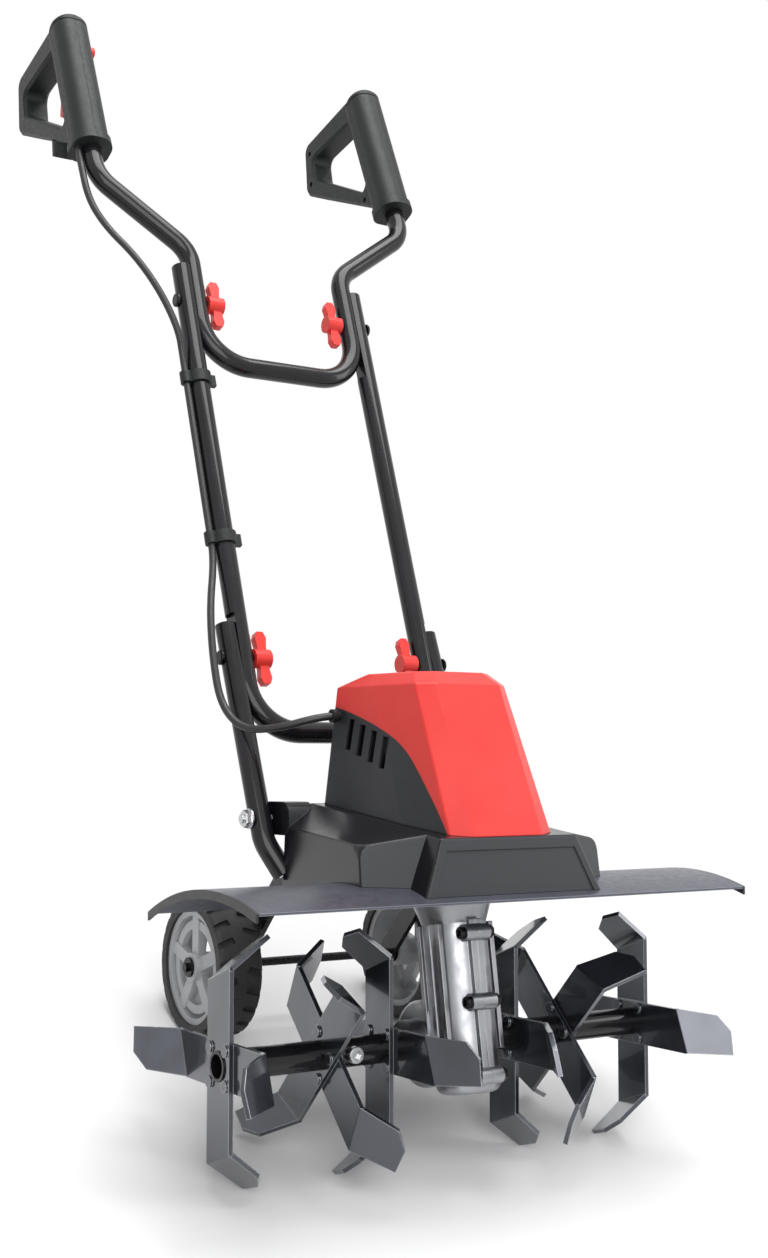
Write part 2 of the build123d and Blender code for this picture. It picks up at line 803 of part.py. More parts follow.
def cover_region():
    """What lies above and before the S-shaped parting line, as seen from the side."""
    line = Spline((0, 130, 293), (0, 85, 284.5), (0, 20, 266.5), (0, -20, 247), (0, -50, 217), (0, -77, 184),
                  (0, -92, 160))
    corners = Polyline(line @ 1, (0, -200, 160), (0, -200, 400), (0, 130, 400), line @ 0)
    return extrude(make_face(line + corners), 200, dir=(1, 0, 0), both=True)


def housing_shell(rounding):
    form = hood_form(0)
    edges = form.edges().filter_by(lambda e: e.center().Z > 215)
    return fillet(edges, rounding) - hood_form(shell_t)


def top_cover():
    return housing_shell(hood_edge) & cover_region()


def motor_hood():
    body = housing_shell(hood_edge) - cover_region()
    for i in range(vent_count):
        slot = Box(4 * hood_rear_half, vent_w, vent_len)
        spot = Pos(0, vent_front_y + i * vent_step, vent_z + i * vent_rise)
        body -= spot * (Rot(-vent_lean, 0, 0) * slot)
    body -= rod_x(-2 * hood_rear_half, 0, gland_y, gland_z, gland_r - 1.5)
    return body


def base_cover():
    """The base under the hood, with its sloped front panel and the ears for the lower tubes."""
    body = base_form(0, base_edge) - base_form(shell_t)
    under = hood_form(0).faces().sort_by(Axis.Z)[0]
    body -= extrude(under, 40, dir=(0, 0, 1), both=True)
    body -= front_panel()
    y, z = foot_bolt_point()
    for side in (-1, 1):
        inner = base_rear_half - shell_t
        ear = Pos(side * (ear_x + inner) / 2, (ear_front_y + ear_back_y) / 2, (ear_low_z + ear_high_z) / 2)
        block = Box(ear_x - inner, ear_back_y - ear_front_y, ear_high_z - ear_low_z)
        block = fillet(block.edges().filter_by(Axis.X), 12.0)
        body += ear * block - base_form(shell_t)
        body -= rod_x(side * inner, side * (ear_x + 1), y, z, pivot_bolt_d / 2)
        body -= swept(lower_points(side), [neck_bend_r], tube_r + bolt_clearance)
    return body & above_deck()


def front_panel():
    """The bare recess in the base's sloped front, framed at its sides and top."""
    up_y, up_z = base_front_top_y - base_front_y, base_front_top_z - base_bottom_z
    length = math.hypot(up_y, up_z)
    plane = Plane(origin=(0, base_front_y, base_bottom_z), x_dir=(1, 0, 0), z_dir=(0, -up_z, up_y))
    high = length - panel_top
    wide = base_front_half - panel_inset
    narrow = wide - (base_front_half - base_top_front_half) * high / length
    face = make_face(Polyline((-wide, 0), (wide, 0), (narrow, high), (-narrow, high), close=True))
    return extrude(plane * face, panel_depth, both=True)


def cable_gland():
    body = rod_x(-gland_x - gland_len, -gland_x + 6, gland_y, gland_z, gland_r - 1.5)
    body += rod_x(-gland_x - gland_len, -gland_x - 3.5, gland_y, gland_z, gland_r)
    return body - rod_x(-gland_x - gland_len, -gland_x, gland_y, gland_z, cable_d / 2)


# Drive


def gearbox_whole():
    """The gearbox before it is split: leaning column, round gear drum, hubs, flared neck, fins."""
    tine = column_plane() * Pos(0, centre_distance, 0) * Rot(0, 90, 0)
    body = post(column_r, column_bottom, mid_bearing)
    body = fillet(body.edges().sort_by(Axis.Z)[:1], 8.0)
    drum = Cylinder(drum_r, 2 * gearbox_half)
    body += tine * fillet(drum.edges(), 5.0)
    body += tine * Cylinder(hub_r, 2 * hub_x)
    flare = Cone(column_r, neck_r, 22, align=on_foot)
    body += column_plane(96) * flare + post(neck_r, 118, 175)
    for side in (-1, 1):
        for fin_y in (-14.0, 0.0, 14.0):
            fin = Box(4, 5, 104, align=on_foot)
            body += column_plane(-8) * Pos(side * (column_r - 1), fin_y, 0) * fin
    for w in column_bolt_w:
        spot = column_plane(w) * Pos(0, -column_r - 2, 0) * Rot(0, 90, 0)
        body += spot * Cylinder(7, 24)
    web = Box(12, 8, 126, align=on_foot)
    body += column_plane(-28) * Pos(0, -column_r, 0) * web
    body -= post(shaft_bearing_r + 1.5, low_bearing + shaft_bearing_w, mid_bearing + 0.5)
    body -= post(shaft_bearing_r, low_bearing, low_bearing + 10) + post(shaft_bearing_r, mid_bearing, 130)
    body -= post(neck_bore_r - 4, 130, 175)
    body -= tine * Cylinder(drum_r - gearbox_wall, 2 * bearing_x)
    body -= tine * Cylinder(bearing_out_r, 2 * (bearing_x + bearing_w))
    body -= tine * Cylinder(tine_shaft_d / 2 + 1, 4 * hub_x)
    for side in (-1, 1):
        body -= rod_x(side * (hub_x - seal_w), side * (hub_x + 1), 0, 0, bearing_out_r - 1)
    for w in column_bolt_w:
        spot = column_plane(w) * Pos(0, -column_r - 2, 0) * Rot(0, 90, 0)
        body -= spot * Cylinder(column_bolt_d / 2, 60)
    return (body - above_deck()) - arch(0, deck_t, deck_half_w)


def gearbox_halves():
    whole = gearbox_whole()
    right = Pos(0, 0, 60) * Box(200, 400, 500, align=(Align.MIN, Align.CENTER, Align.CENTER))
    return whole - right, whole & right


def gearbox_bolts():
    bolts = []
    for w in column_bolt_w:
        spot = column_plane(w) * Pos(0, -column_r - 2, 0) * Rot(0, 90, 0)
        bolt = Cylinder(column_bolt_d / 2, 24)
        bolt += Pos(0, 0, 12) * Cylinder(5, 5, align=on_foot)
        bolt += Pos(0, 0, -12) * Cylinder(5, 4, align=(Align.CENTER, Align.CENTER, Align.MAX))
        bolts.append(spot * bolt)
    return bolts


def motor_frame():
    """The can that carries the stator and the top bearing, seated on the deck."""
    body = post(motor_r + frame_wall, 120, frame_top) - post(motor_r, 100, frame_top - 7)
    body -= post(shaft_bearing_r, frame_top - 10, frame_top + 1)
    for side in (0, 90):
        low_window = Box(4 * motor_r, 40, 34, align=on_foot)
        body -= column_plane(150) * Rot(0, 0, side) * low_window
        high_window = Box(4 * motor_r, 30, 24, align=on_foot)
        body -= column_plane(252) * Rot(0, 0, side + 45) * high_window
    return body & above_deck()


def bearing(low, r_in):
    high = low + shaft_bearing_w
    return post(shaft_bearing_r, low, high) - post(r_in, low - 1, high + 1)


def motor_stator():
    body = post(motor_r, motor_base, motor_base + motor_len)
    return body - post(motor_core_r + air_gap, motor_base - 1, motor_base + motor_len + 1)


def brush_gear():
    """Two brush holders, from the can's wall to just clear of the commutator."""
    inner = commutator_r + 0.4
    holder = Box(motor_r - inner - 0.6, 12, 10, align=(Align.MIN, Align.CENTER, Align.MIN))
    plane = column_plane(commutator_low + 5)
    return [plane * Rot(0, 0, turn) * Pos(inner, 0, 0) * holder for turn in (0, 180)]


def worm_thread():
    """One helical thread, with a gap's centre facing the worm wheel at rest."""
    pitch = math.pi * gear_module
    path = Helix(pitch=pitch, height=worm_len, radius=worm_core_r)
    foot, crest = worm_root / 2, worm_crest / 2
    out = worm_r + gear_module - worm_core_r
    start = path @ 0
    plane = Plane(origin=start, x_dir=(1, 0, 0), z_dir=path % 0)
    outline = Polyline((-0.3, -foot), (out, -crest), (out, crest), (-0.3, foot), close=True)
    return sweep(plane * make_face(outline), path=path, is_frenet=True)


def armature_shaft():
    """The motor's shaft with the worm near its foot."""
    r = shaft_d / 2
    body = Cylinder(worm_core_r, worm_len + 8)
    pitch = math.pi * gear_module
    body += Pos(0, 0, -worm_len / 2 - pitch / 4 + (worm_len / 2) % pitch) * worm_thread()
    length = top_bearing + shaft_bearing_w - low_bearing
    body += Pos(0, 0, low_bearing) * Cylinder(r, length, align=on_foot)
    return column_plane() * body


def armature_core():
    """Laminated core and commutator on the shaft."""
    body = post(motor_core_r, motor_base, motor_base + motor_len)
    slot = Box(5, 3, motor_len + 2, align=on_foot)
    for turn in range(0, 360, 30):
        body -= column_plane(motor_base - 1) * Rot(0, 0, turn) * Pos(motor_core_r, 0, 0) * slot
    body += post(commutator_r, commutator_low, commutator_low + commutator_len)
    body += post(shaft_d / 2 + 3, motor_base + motor_len, commutator_low)
    return body - post(shaft_d / 2, motor_base - 10, commutator_low + commutator_len + 10)


def cooling_fan():
    body = post(motor_r - 6, fan_low, fan_low + 2) + post(shaft_d / 2 + 5, fan_low, fan_low + fan_len)
    for turn in range(0, 360, 40):
        blade = Box(motor_r - 18, 1.6, fan_len, align=(Align.MIN, Align.CENTER, Align.MIN))
        body += column_plane(fan_low) * Rot(0, 0, turn) * Pos(10, 0, 0) * Rot(0, 0, 12) * blade
    return body - post(shaft_d / 2, fan_low - 5, fan_low + fan_len + 5)


def worm_wheel():
    """The wheel on the tine shaft: straight narrow teeth, a tooth gap facing the worm at rest."""
    r_out = gear_module * wheel_teeth / 2 + gear_module
    r_root = gear_module * wheel_teeth / 2 - 1.25 * gear_module
    rim = rod_x(-gear_face / 2, gear_face / 2, 0, 0, r_root)
    step = 360 / wheel_teeth
    outline = Polyline((r_root - 1, -1.2), (r_out, -0.5), (r_out, 0.5), (r_root - 1, 1.2), close=True)
    tooth = extrude(make_face(outline), gear_face / 2, both=True)
    body = rim
    for i in range(wheel_teeth):
        turn = 180 - axis_lean + (i + 0.5) * step
        body += Rot(turn, 0, 0) * (Rot(90, 0, 0) * (Rot(0, 90, 0) * tooth))
    body += rod_x(-bearing_x + 1, bearing_x - 1, 0, 0, tine_shaft_d / 2 + 5)
    return body - rod_x(-bearing_x, bearing_x, 0, 0, tine_shaft_d / 2)


# Tines


def tine_bar(fold):
    """One bar about the X axis, lying along Z, its two tips folded towards fold * X."""
    half = bar_w / 2
    edge = -half * math.tan(math.radians(fold_skew))
    flat = [(-half, bar_fold_r - edge), (half, bar_fold_r + edge),
            (half, -bar_fold_r + edge), (-half, -bar_fold_r - edge)]
    body = extrude(Plane.YZ * make_face(Polyline(*flat, close=True)), bar_t / 2, both=True)
    tip = [(half, bar_fold_r + edge), (-half, bar_fold_r - edge), (-half * 0.75, bar_fold_r + tip_len),
           (half * 0.35, bar_fold_r + tip_len - 4), (half, bar_fold_r + tip_len * 0.62)]
    plate = extrude(Plane.YZ * make_face(Polyline(*tip, close=True)), bar_t / 2, both=True)
    line = Vector(0, bar_w, 2 * edge)
    hinge = Axis((0, 0, bar_fold_r), line)
    seam = Plane(origin=(0, -half, bar_fold_r - edge), z_dir=line) * Cylinder(
        bar_t / 2, line.length, align=on_foot)
    bent = plate.rotate(hinge, fold * tip_angle) + seam
    return body + bent + Rot(180, 0, 0) * bent


def tine_star(side, index):
    """A star on one tine tube: two crossing bars, held by rivets, about the tube."""
    outward = side
    vertical_fold = (outward, outward, -outward)[index]
    flat_fold = -vertical_fold
    near_gearbox = index == 0
    turn = 45.0 if index == 1 else 0.0
    upright = Pos(side * bar_t / 2, 0, 0) * tine_bar(vertical_fold)
    share = 0.6 if near_gearbox else 1.0
    level = Pos(-side * bar_t / 2, 0, 0) * Rot(90, 0, 0) * tine_bar(flat_fold * share)
    hole = rod_x(-20, 20, 0, 0, tine_tube_d / 2)
    spots = [(y * bar_w * 0.36, z * bar_w * 0.36) for y in (-1, 1) for z in (-1, 1)]
    for y, z in spots:
        hole += rod_x(-20, 20, y, z, rivet_d / 2)
    rivets = [rod_x(-bar_t, bar_t, y, z, rivet_d / 2) + rod_x(bar_t, bar_t + 2, y, z, rivet_d * 0.8)
              + rod_x(-bar_t - 2, -bar_t, y, z, rivet_d * 0.8) for y, z in spots]
    at = Pos(side * star_x[index], 0, 0) * Rot(turn, 0, 0)
    return [at * (upright - hole), at * (level - hole)] + [at * r for r in rivets]


def tine_tube(side):
    body = ring_x(side * tine_tube_start, side * tine_tube_end, 0, 0, tine_tube_d / 2, tine_shaft_d / 2)
    body -= rod_x(side * tine_socket_start, side * (tine_tube_end + 1), 0, 0, tine_socket_r)
    return body - tine_bolt_rod(side, tine_bolt_d / 2)


def tine_bolt_rod(side, r):
    rod = Cylinder(r, 3 * tine_tube_d)
    return Pos(side * tine_bolt_x, 0, 0) * Rot(90, 0, 0) * rod


def tine_shaft():
    body = rod_x(-tine_shaft_end, tine_shaft_end, 0, 0, tine_shaft_d / 2)
    for side in (-1, 1):
        body -= tine_bolt_rod(side, tine_bolt_d / 2)
    return body


def tine_lock_bolt(side):
    half = tine_tube_d / 2 + 1
    bolt = Cylinder(tine_bolt_d / 2, 2 * half)
    bolt += Pos(0, 0, half) * Cylinder(7, 5, align=on_foot)
    bolt += Pos(0, 0, -half) * Cylinder(7, 6, align=(Align.CENTER, Align.CENTER, Align.MAX))
    return Pos(side * tine_bolt_x, 0, 0) * Rot(90, 0, 0) * bolt


# Wheels


def bracket_arm_lean():
    return math.degrees(math.atan2(wheel_y - bracket_pivot_y, wheel_z - bracket_pivot_z))


def wheel_bracket():
    """Two flat arms joined by a cross rod, from the pivot bolts to the axle."""
    length = math.hypot(wheel_y - bracket_pivot_y, wheel_z - bracket_pivot_z)
    parts = []
    for side in (-1, 1):
        x0, x1 = side * bracket_x, side * (bracket_x - bracket_t)
        arm = Box(bracket_t, bracket_w, length, align=on_foot)
        arm = Pos((x0 + x1) / 2, bracket_pivot_y, bracket_pivot_z) * Rot(-bracket_arm_lean(), 0, 0) * arm
        arm += rod_x(x0, x1, bracket_pivot_y, bracket_pivot_z, bracket_w / 2)
        arm += rod_x(x0, x1, wheel_y, wheel_z, bracket_w / 2)
        parts.append(arm)
    mid_y = bracket_pivot_y + bracket_rod_place * (wheel_y - bracket_pivot_y)
    mid_z = bracket_pivot_z + bracket_rod_place * (wheel_z - bracket_pivot_z)
    body = parts[0] + parts[1] + rod_x(-bracket_x + bracket_t, bracket_x - bracket_t, mid_y, mid_z, 6)
    body -= rod_x(-wheel_outer_x, wheel_outer_x, wheel_y, wheel_z, axle_d / 2)
    hole = pivot_bolt_d / 2 + bolt_clearance
    return body - rod_x(-wheel_outer_x, wheel_outer_x, bracket_pivot_y, bracket_pivot_z, hole)


def wheel_carrier():
    """The bracket on the base's rear that holds the wheel arms' pivots."""
    inner = bracket_x - bracket_t - 0.5
    low, high = bracket_pivot_z - carrier_reach, bracket_pivot_z + carrier_reach
    rear = bracket_pivot_y + carrier_reach
    front = base_rear_top_y - shell_t
    body = Pos(0, front, bracket_pivot_z) * Box(2 * inner, base_rear_y - front + carrier_t, 2 * carrier_reach,
                                                align=(Align.CENTER, Align.MIN, Align.CENTER))
    for side in (-1, 1):
        plate = side_plate([(front, low), (rear, low), (rear, high), (front, high)], carrier_t)
        body += Pos(side * (inner - carrier_t / 2), 0, 0) * plate
    body -= rod_x(-bracket_x, bracket_x, bracket_pivot_y, bracket_pivot_z, pivot_bolt_d / 2)
    return body - base_form(0)


def wheel_pivot_bolt(side):
    inner = bracket_x - bracket_t - 0.5 - carrier_t
    bolt = rod_x(inner - 4, bracket_x + 0.3, bracket_pivot_y, bracket_pivot_z, pivot_bolt_d / 2)
    bolt += rod_x(bracket_x + 0.3, bracket_x + 5.3, bracket_pivot_y, bracket_pivot_z, bolt_head_r)
    bolt += rod_x(inner - 6, inner, bracket_pivot_y, bracket_pivot_z, bolt_head_r)
    return bolt if side > 0 else mirror_x(bolt)


def wheel_axle():
    return rod_x(-axle_end, axle_end, wheel_y, wheel_z, axle_d / 2)


def axle_clips():
    places = (wheel_outer_x - wheel_w - 0.5 - clip_t, wheel_outer_x + 0.5)
    clips = [ring_x(x, x + clip_t, wheel_y, wheel_z, clip_r, axle_d / 2) for x in places]
    return clips + [mirror_x(c) for c in clips]


def wheel_rim():
    """The right wheel's rim: hub, spokes and a round band, open between the spokes."""
    x1 = wheel_outer_x
    x0 = x1 - wheel_w
    body = ring_x(x0 + 3, x1 - 3, 0, 0, rim_r, rim_r - rim_lip)
    body += rod_x(x0, x1, 0, 0, wheel_hub_r)
    for i in range(spoke_count):
        spoke = Box(spoke_t, spoke_w, rim_r - rim_lip + 1, align=(Align.MAX, Align.CENTER, Align.MIN))
        body += Rot(i * 360 / spoke_count, 0, 0) * Pos(x1 - 5, 0, 0) * spoke
    body += ring_x(x1 - 12, x1 - 6, 0, 0, rim_r - rim_lip - 4, rim_r - rim_lip - 12)
    body -= rod_x(x0 - 1, x1 + 1, 0, 0, axle_d / 2 + shaft_clearance)
    return Pos(0, wheel_y, wheel_z) * body


def wheel_tyre():
    x1 = wheel_outer_x
    x0 = x1 - wheel_w
    body = ring_x(x0, x1, 0, 0, tyre_r, rim_r)
    body = fillet(body.edges().filter_by(GeomType.CIRCLE).sort_by(SortBy.RADIUS)[-2:], 4.0)
    for i in range(lug_count):
        for row in (0, 1):
            turn = (i + row / 2) * 360 / lug_count
            gap = Box(wheel_w * 0.4, lug_gap, 2 * lug_depth)
            x = x0 + wheel_w * 0.18 if row else x1 - wheel_w * 0.18
            body -= Rot(turn, 0, 0) * Pos(x, 0, tyre_r) * Rot(0, 0, 18 if row else -18) * gap
    return Pos(0, wheel_y, wheel_z) * body


# Assembly


def nodes():
    """Every node by name, on the level machine."""
    upper_cable, middle_cable, lower_cable = cable_points()
    left_box, right_box = gearbox_halves()
    switch_outer, switch_inner = grip_shells(-1)
    plain_outer, plain_inner = grip_shells(1)
    rim, tyre = wheel_rim(), wheel_tyre()
    pivots = ((lower_tube_x, middle_tube_x, lower_pivot_y, lower_pivot_z),
              (middle_tube_x, upper_tube_x, upper_pivot_y, upper_pivot_z))
    parts = {
        "deck_shield": deck_shield(), "gearbox_left_half": left_box, "gearbox_right_half": right_box,
        "gearbox_bolts": gearbox_bolts(), "base_cover": base_cover(), "motor_hood": motor_hood(),
        "top_cover": top_cover(), "motor_frame": motor_frame(), "motor_stator": motor_stator(),
        "brush_gear": brush_gear(),
        "motor_bearings": [bearing(low, shaft_d / 2 + shaft_clearance)
                           for low in (low_bearing, mid_bearing, top_bearing)],
        "tine_shaft_bearings": [ring_x(s * bearing_x, s * (bearing_x + bearing_w), 0, 0, bearing_out_r,
                                       tine_shaft_d / 2 + shaft_clearance) for s in (-1, 1)],
        "shaft_seals": [ring_x(s * (hub_x - seal_w), s * hub_x, 0, 0, bearing_out_r - 1,
                               tine_shaft_d / 2 + shaft_clearance) for s in (-1, 1)],
        "lower_tube_left": lower_tube(-1), "lower_tube_right": lower_tube(1),
        "frame_bolts": [bolt for s in (-1, 1) for bolt in
                        (pivot_bolt(s, *pivots[0]), foot_bolt(s), wheel_pivot_bolt(s))],
        "cable_gland": cable_gland(), "cable_lower": cable_piece(lower_cable),
        "wheel_carrier": wheel_carrier(),
        "middle_handlebar": middle_handlebar(), "cable_clips": [cable_clip(d) for d in clip_drops],
        "cable_middle": cable_piece(middle_cable),
        "upper_pivot_bolts": [pivot_bolt(s, *pivots[1]) for s in (-1, 1)],
        "upper_handlebar": upper_handlebar(), "switch_grip_outer_shell": switch_outer,
        "switch_grip_inner_shell": switch_inner, "plain_grip_outer_shell": plain_outer,
        "plain_grip_inner_shell": plain_inner,
        "grip_screws": grip_screws_one(-grip_x, -1) + grip_screws_one(grip_x, 1),
        "switch_module": Pos(-grip_x, 0, 0) * switch_cavity(0), "mains_inlet": mains_inlet(),
        "trigger_pin": trigger_pin(), "cable_upper": cable_piece(upper_cable),
        "trigger": trigger(), "lock_button": lock_button(),
        "lower_knob_left": knob(-1, *pivots[0][1:]), "lower_knob_right": knob(1, *pivots[0][1:]),
        "upper_knob_left": knob(-1, *pivots[1][1:]), "upper_knob_right": knob(1, *pivots[1][1:]),
        "tine_shaft": tine_shaft(), "worm_wheel": worm_wheel(),
        "tine_tube_left": tine_tube(-1), "tine_tube_right": tine_tube(1),
        "tine_lock_bolts": [tine_lock_bolt(s) for s in (-1, 1)],
        "armature_shaft": armature_shaft(), "armature_core": armature_core(), "cooling_fan": cooling_fan(),
        "wheel_bracket": wheel_bracket(), "wheel_axle": wheel_axle(), "axle_clips": axle_clips(),
        "wheel_rim_left": mirror_x(rim), "wheel_rim_right": rim,
        "wheel_tyre_left": mirror_x(tyre), "wheel_tyre_right": tyre,
    }
    for side, word in ((-1, "left"), (1, "right")):
        for index, place in enumerate(("inner", "middle", "outer")):
            star = tine_star(1, index)
            parts[f"tine_star_{word}_{place}"] = star if side > 0 else [mirror_x(s) for s in star]
    return {name: Compound(children=list(s)) if isinstance(s, list) else s for name, s in parts.items()}


def standing_lean(parts):
    """The lean at which the tines and the wheels both touch the ground."""
    tips = [(v.Y, v.Z) for name, s in parts.items() if name.startswith("tine_star") for v in s.vertices()]

    def gap(lean):
        c, s = math.cos(math.radians(lean)), math.sin(math.radians(lean))
        tines = min(z * c - y * s for y, z in tips)
        return wheel_z * c - wheel_y * s - tyre_r - tines

    low, high = 0.0, 45.0
    for _ in range(50):
        middle = (low + high) / 2
        low, high = (middle, high) if gap(middle) > 0 else (low, middle)
    return low


def standing_place(parts):
    """Where the level machine goes: leaning on its wheels, its bottom centre at the origin."""
    lean = Rot(-standing_lean(parts), 0, 0)
    box = Compound(children=[lean * s for s in parts.values()]).bounding_box()
    centre = box.center()
    return Pos(-centre.X, -centre.Y, -box.min.Z) * lean


def main():
    os.makedirs("parts", exist_ok=True)
    parts = nodes()
    place = standing_place(parts)
    for name, shape in parts.items():
        export_step(place * shape, f"parts/{name}.step")
    print(len(parts), "nodes, lean", round(standing_lean(parts), 3))


if __name__ == "__main__":
    main()
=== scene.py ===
"""Looks of the electric tiller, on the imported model."""
import json
import math

import bmesh
import bpy
from mathutils import Matrix, Vector


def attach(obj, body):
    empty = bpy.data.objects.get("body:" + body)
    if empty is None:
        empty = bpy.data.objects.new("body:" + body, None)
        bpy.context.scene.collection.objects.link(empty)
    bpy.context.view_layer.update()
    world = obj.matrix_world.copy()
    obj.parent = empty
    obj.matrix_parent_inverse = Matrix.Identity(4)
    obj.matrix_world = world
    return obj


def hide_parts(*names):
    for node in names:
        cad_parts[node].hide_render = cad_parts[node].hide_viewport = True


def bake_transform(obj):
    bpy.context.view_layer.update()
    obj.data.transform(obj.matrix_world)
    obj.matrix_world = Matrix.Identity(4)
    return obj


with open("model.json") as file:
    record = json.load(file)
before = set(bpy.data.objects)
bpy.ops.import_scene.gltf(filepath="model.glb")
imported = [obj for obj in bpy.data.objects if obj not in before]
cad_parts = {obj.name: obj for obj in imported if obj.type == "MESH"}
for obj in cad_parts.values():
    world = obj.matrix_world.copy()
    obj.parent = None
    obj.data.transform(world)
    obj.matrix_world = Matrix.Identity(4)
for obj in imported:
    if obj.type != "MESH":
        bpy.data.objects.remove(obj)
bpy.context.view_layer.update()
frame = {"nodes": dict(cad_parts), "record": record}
scene = bpy.context.scene
scene.view_settings.view_transform = "Standard"

# Picture height in pixels and focal length in the same pixels
PHOTO_H = 1258
FOCAL_PX = 1650.0
SENSOR_MM = 36.0

# Nearest and farthest the camera sees, in metres
CLIP_NEAR = 0.05
CLIP_FAR = 60

# The level frame, in millimetres: tine shaft at the origin, lower handle pivots here
PIVOT_YZ = (178.293, 330.755)
CAMERA_AT_MM = (-807.62, -1169.26, 237.54)
CAMERA_YAW = math.radians(32.617)
CAMERA_PITCH = math.radians(4.536)

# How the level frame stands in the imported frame, from two joints of the record
JOINTS = frame["record"]["behaviour"]["joints"]
JOINT_AT = {j["name"]: Vector(j["pos_m"]) for j in JOINTS if j.get("pos_m")}
ORIGIN = JOINT_AT["tine_spin"]
ARM = JOINT_AT["lower_fold"] - ORIGIN
LEAN = math.atan2(ARM.z, ARM.y) - math.atan2(PIVOT_YZ[1], PIVOT_YZ[0])
TURN = Matrix.Rotation(LEAN, 4, "X")
STAND = Matrix.Translation(ORIGIN) @ TURN


def place(x, y, z):
    """A point of the level frame, in millimetres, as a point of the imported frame."""
    return STAND @ Vector((x / 1000, y / 1000, z / 1000))


def set_camera():
    data = bpy.data.cameras.new("camera")
    data.sensor_fit = "VERTICAL"
    data.sensor_height = SENSOR_MM
    data.lens = FOCAL_PX / PHOTO_H * SENSOR_MM
    data.clip_start = CLIP_NEAR
    data.clip_end = CLIP_FAR
    cam = bpy.data.objects.new("camera", data)
    level = math.cos(CAMERA_PITCH)
    look = Vector((math.sin(CAMERA_YAW) * level, math.cos(CAMERA_YAW) * level, math.sin(CAMERA_PITCH)))
    right = Vector((math.cos(CAMERA_YAW), -math.sin(CAMERA_YAW), 0))
    axes = Matrix((right, right.cross(look), -look)).transposed().to_4x4()
    cam.matrix_world = Matrix.Translation(place(*CAMERA_AT_MM)) @ TURN @ axes
    scene.collection.objects.link(cam)
    scene.camera = cam


class Nodes:
    """Short ways to build a material's node tree."""

    def __init__(self, name):
        self.mat = bpy.data.materials.new(name)
        self.mat.use_nodes = True
        self.tree = self.mat.node_tree
        self.shader = self.tree.nodes["Principled BSDF"]
        self.coords = self.tree.nodes.new("ShaderNodeTexCoord").outputs["Object"]

    def node(self, kind, **values):
        made = self.tree.nodes.new(kind)
        for key, value in values.items():
            setattr(made, key, value)
        return made

    def link(self, a, b):
        self.tree.links.new(a, b)

    def noise(self, scale, detail=3.0, stretch=None):
        made = self.node("ShaderNodeTexNoise")
        made.inputs["Scale"].default_value = scale
        made.inputs["Detail"].default_value = detail
        source = self.coords
        if stretch:
            mapping = self.node("ShaderNodeMapping")
            mapping.inputs["Scale"].default_value = stretch
            self.link(source, mapping.inputs["Vector"])
            source = mapping.outputs["Vector"]
        self.link(source, made.inputs["Vector"])
        return made.outputs["Fac"]

    def ramp(self, source, low, high, at=(0.35, 0.65)):
        made = self.node("ShaderNodeMapRange")
        made.inputs["From Min"].default_value = at[0]
        made.inputs["From Max"].default_value = at[1]
        made.inputs["To Min"].default_value = low
        made.inputs["To Max"].default_value = high
        self.link(source, made.inputs["Value"])
        return made.outputs["Result"]

    def mix(self, fac, a, b):
        made = self.node("ShaderNodeMix", data_type="RGBA")
        self.link(fac, made.inputs[0])
        for value, socket in ((a, made.inputs[6]), (b, made.inputs[7])):
            if hasattr(value, "links"):
                self.link(value, socket)
            else:
                socket.default_value = (*value, 1)
        return made.outputs[2]

    def soft_edges(self, radius):
        made = self.node("ShaderNodeBevel", samples=6)
        made.inputs["Radius"].default_value = radius
        return made.outputs["Normal"]

    def edge_mask(self, radius, at=(0.02, 0.2)):
        """One along worn edges, nought on open faces."""
        bevel = self.soft_edges(radius)
        normal = self.node("ShaderNodeNewGeometry").outputs["Normal"]
        dot = self.node("ShaderNodeVectorMath", operation="DOT_PRODUCT")
        self.link(bevel, dot.inputs[0])
        self.link(normal, dot.inputs[1])
        return self.ramp(dot.outputs["Value"], 1.0, 0.0, (1 - at[1], 1 - at[0]))

    def bump(self, height, strength, distance, under=None):
        made = self.node("ShaderNodeBump")
        made.inputs["Strength"].default_value = strength
        made.inputs["Distance"].default_value = distance
        self.link(height, made.inputs["Height"])
        if under is not None:
            self.link(under, made.inputs["Normal"])
        return made.outputs["Normal"]

    def set(self, name, value):
        socket = self.shader.inputs[name]
        if hasattr(value, "links"):
            self.link(value, socket)
        elif isinstance(value, tuple):
            socket.default_value = (*value, 1)
        else:
            socket.default_value = value


def gloss_black(name):
    m = Nodes(name)
    tone = m.ramp(m.noise(14, 2), 0.0, 1.0)
    m.set("Base Color", m.mix(tone, (0.006, 0.006, 0.007), (0.010, 0.010, 0.012)))
    m.set("Roughness", m.ramp(m.noise(60, 4), 0.24, 0.32))
    m.set("Specular IOR Level", 0.12)
    m.set("Coat Weight", 0.45)
    m.set("Coat Roughness", 0.06)
    return m.mat


def moulded(name, dark, light, rough, grain, radius=0.0008):
    m = Nodes(name)
    tone = m.ramp(m.noise(22, 3), 0.0, 1.0)
    m.set("Base Color", m.mix(tone, dark, light))
    m.set("Roughness", m.ramp(m.noise(240, 4), rough - 0.05, rough + 0.06))
    m.set("Specular IOR Level", 0.28)
    m.set("Normal", m.bump(m.noise(2600, 2), grain, 0.0006, m.soft_edges(radius)))
    return m.mat


def red_plastic(name):
    m = Nodes(name)
    tone = m.ramp(m.noise(18, 3), 0.0, 1.0)
    m.set("Base Color", m.mix(tone, (0.68, 0.038, 0.032), (0.73, 0.047, 0.039)))
    m.set("Roughness", m.ramp(m.noise(200, 4), 0.30, 0.4))
    m.set("Specular IOR Level", 0.32)
    m.set("Normal", m.bump(m.noise(2200, 2), 0.05, 0.0005, m.soft_edges(0.0012)))
    return m.mat


# The deck's ends wear a dark edge trim from this far out, in metres, with a short blend into it
DECK_TRIM = (0.2385, 0.2391)


